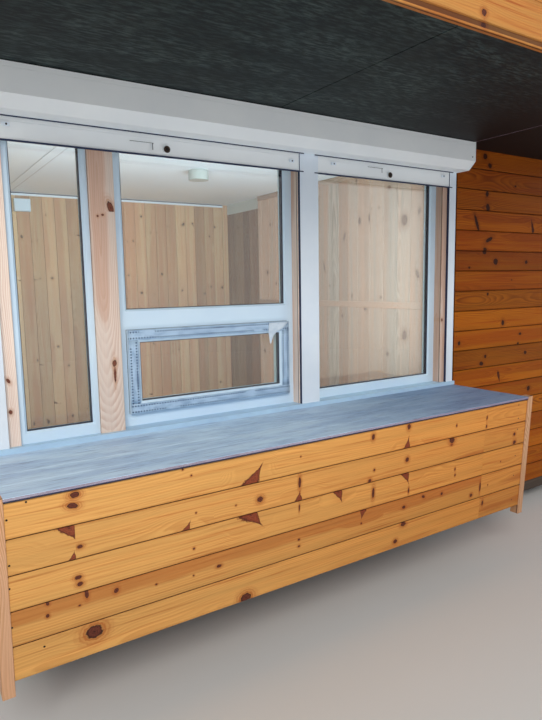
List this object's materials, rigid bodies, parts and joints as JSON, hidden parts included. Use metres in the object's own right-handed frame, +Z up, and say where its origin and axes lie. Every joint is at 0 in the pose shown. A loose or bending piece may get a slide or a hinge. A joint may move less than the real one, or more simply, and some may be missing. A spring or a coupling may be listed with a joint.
{
  "type": "wooden market hut",
  "caption": "Boarded market hut on skids, with a canopy, windows under roller shutters, a hatch, a serving counter and a storeroom behind a partition.",
  "frame": {"origin": "on the ground under the middle of the whole outline", "axes": "+X along the front to the customer's right, +Y from the front into the hut, +Z up"},
  "size_m": [3.904, 3.989, 2.5347],
  "materials": {
    "raw_timber": "sawn softwood, untreated",
    "floor_pine": "planed pine floor boards",
    "stained_pine": "pine boards with an orange brown stain, satin",
    "lining_pine": "pale pine lining boards, unfinished",
    "planed_pine": "planed pale pine, unfinished",
    "skirt_pine": "pine boards with a golden orange stain, satin",
    "weathered_board": "grey weathered painted board",
    "white_panel": "white panel, satin",
    "white_pvc": "white extruded window profile",
    "film_pvc": "white profile under pale blue protective film",
    "window_glass": "clear sealed glass unit",
    "white_aluminium": "white coated rolled sheet",
    "opal_plastic": "white moulded lamp body",
    "dark_soffit": "board painted dark anthracite",
    "roof_felt": "mineral surfaced bitumen felt",
    "dark_metal": "dark coated folded steel",
    "satin_metal": "satin door furniture"
  },
  "bodies": {
    "root": {"skids": "raw_timber", "floor_rims": "raw_timber", "floor_joists": "raw_timber", "floor_boards": "floor_pine", "front_wall_base": "stained_pine", "front_wall_right": "stained_pine", "front_wall_header": "raw_timber", "left_wall": "stained_pine", "right_wall_front": "stained_pine", "right_wall_rear": "stained_pine", "right_wall_header": "stained_pine", "back_wall": "stained_pine", "corner_boards": "stained_pine", "partition": "lining_pine", "partition_lintel": "white_panel", "bay_leaf": "lining_pine", "window_posts": "planed_pine", "window_sill": "white_pvc", "window_frame_left": "white_pvc", "window_frame_center": "white_pvc", "window_frame_right": "white_pvc", "hatch_sash": "film_pvc", "glass_panes": "window_glass", "shutter_box": "white_aluminium", "shutter_box_caps": "white_aluminium", "guide_rail_left": "white_aluminium", "guide_rail_center": "white_aluminium", "guide_rail_right": "white_aluminium", "shutter_bar_left": "white_aluminium", "shutter_bar_right": "white_aluminium", "counter_top": "weathered_board", "counter_rails": "raw_timber", "counter_brackets": "raw_timber", "counter_skirt": "skirt_pine", "counter_ends": "skirt_pine", "counter_trims": "planed_pine", "door_frame": "stained_pine", "door_leaf": "stained_pine", "door_handle": "satin_metal", "ceiling": "white_panel", "ceiling_lamp": "opal_plastic", "junction_box": "white_pvc", "canopy_soffit": "dark_soffit", "roof_joists": "raw_timber", "fascia_front": "skirt_pine", "fascia_rear": "stained_pine", "fascia_sides": "stained_pine", "roof_boards": "raw_timber", "roof_felt": "roof_felt", "roof_edge": "dark_metal"}
  },
  "joints": []
}
